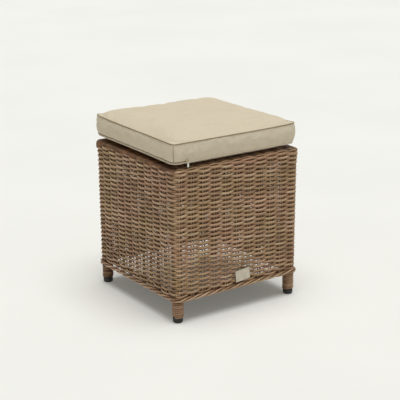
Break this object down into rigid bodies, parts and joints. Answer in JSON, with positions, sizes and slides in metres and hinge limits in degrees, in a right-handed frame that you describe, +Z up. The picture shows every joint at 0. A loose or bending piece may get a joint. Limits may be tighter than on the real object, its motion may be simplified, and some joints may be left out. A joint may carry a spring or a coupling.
{
  "type": "outdoor ottoman footstool",
  "caption": "Square woven wicker ottoman footstool on strand-wrapped legs, with a bare plate and a lift-off box cushion whose piped cover has a working zip.",
  "frame": {"origin": "on the floor under the middle of the stool", "axes": "+Z up; -Y is the side with the bare plate; the zip runs along the -X side of the cushion"},
  "size_m": [0.4096, 0.4096, 0.5039],
  "materials": {
    "frame_tube": "dark brown powder coat",
    "wicker": "satin polyethylene strand, brown with olive and red tones",
    "wicker_wrap": "satin polyethylene strand, brown",
    "glide_black": "moulded matt black",
    "bare_plate": "satin",
    "foam": "open cell foam",
    "cover_fabric": "beige slub weave",
    "piping_fabric": "beige slub weave on a cord",
    "zip_fabric": "woven tape with a moulded chain",
    "zip_metal": "bright plated"
  },
  "bodies": {
    "stool": {"leg_front_left": "frame_tube", "leg_front_right": "frame_tube", "leg_back_right": "frame_tube", "leg_back_left": "frame_tube", "top_rail_front": "frame_tube", "top_rail_right": "frame_tube", "top_rail_back": "frame_tube", "top_rail_left": "frame_tube", "bottom_rail_front": "frame_tube", "bottom_rail_right": "frame_tube", "bottom_rail_back": "frame_tube", "bottom_rail_left": "frame_tube", "seat_slat_1": "frame_tube", "seat_slat_2": "frame_tube", "seat_slat_3": "frame_tube", "side_weave_front": "wicker", "side_weave_right": "wicker", "side_weave_back": "wicker", "side_weave_left": "wicker", "seat_weave": "wicker", "border_front": "wicker", "border_right": "wicker", "border_back": "wicker", "border_left": "wicker", "leg_wrap_front_left": "wicker_wrap", "leg_wrap_front_right": "wicker_wrap", "leg_wrap_back_right": "wicker_wrap", "leg_wrap_back_left": "wicker_wrap", "glide_front_left": "glide_black", "glide_front_right": "glide_black", "glide_back_right": "glide_black", "glide_back_left": "glide_black", "plate": "bare_plate"},
    "cushion": {"cushion_core": "foam", "cushion_top": "cover_fabric", "cushion_bottom": "cover_fabric", "cushion_boxing": "cover_fabric", "piping_top": "piping_fabric", "piping_bottom": "piping_fabric", "zip_tape": "zip_fabric"},
    "zip_slider": {"zip_slider": "zip_metal"},
    "zip_pull": {"zip_pull": "zip_metal"}
  },
  "joints": [
    {"name": "cushion_lift", "type": "slide", "parent": "stool", "child": "cushion", "axis": [0, 0, 1], "range_m": [0, 0.12]},
    {"name": "zip_travel", "type": "slide", "parent": "cushion", "child": "zip_slider", "axis": [-1, 0, 0], "range_m": [0, 0.018]},
    {"name": "zip_pull_swing", "type": "hinge", "parent": "zip_slider", "child": "zip_pull", "pos_m": [-0.1583, -0.20065, 0.4372], "axis": [-1, 0, 0], "range_deg": [-5, 145]}
  ]
}
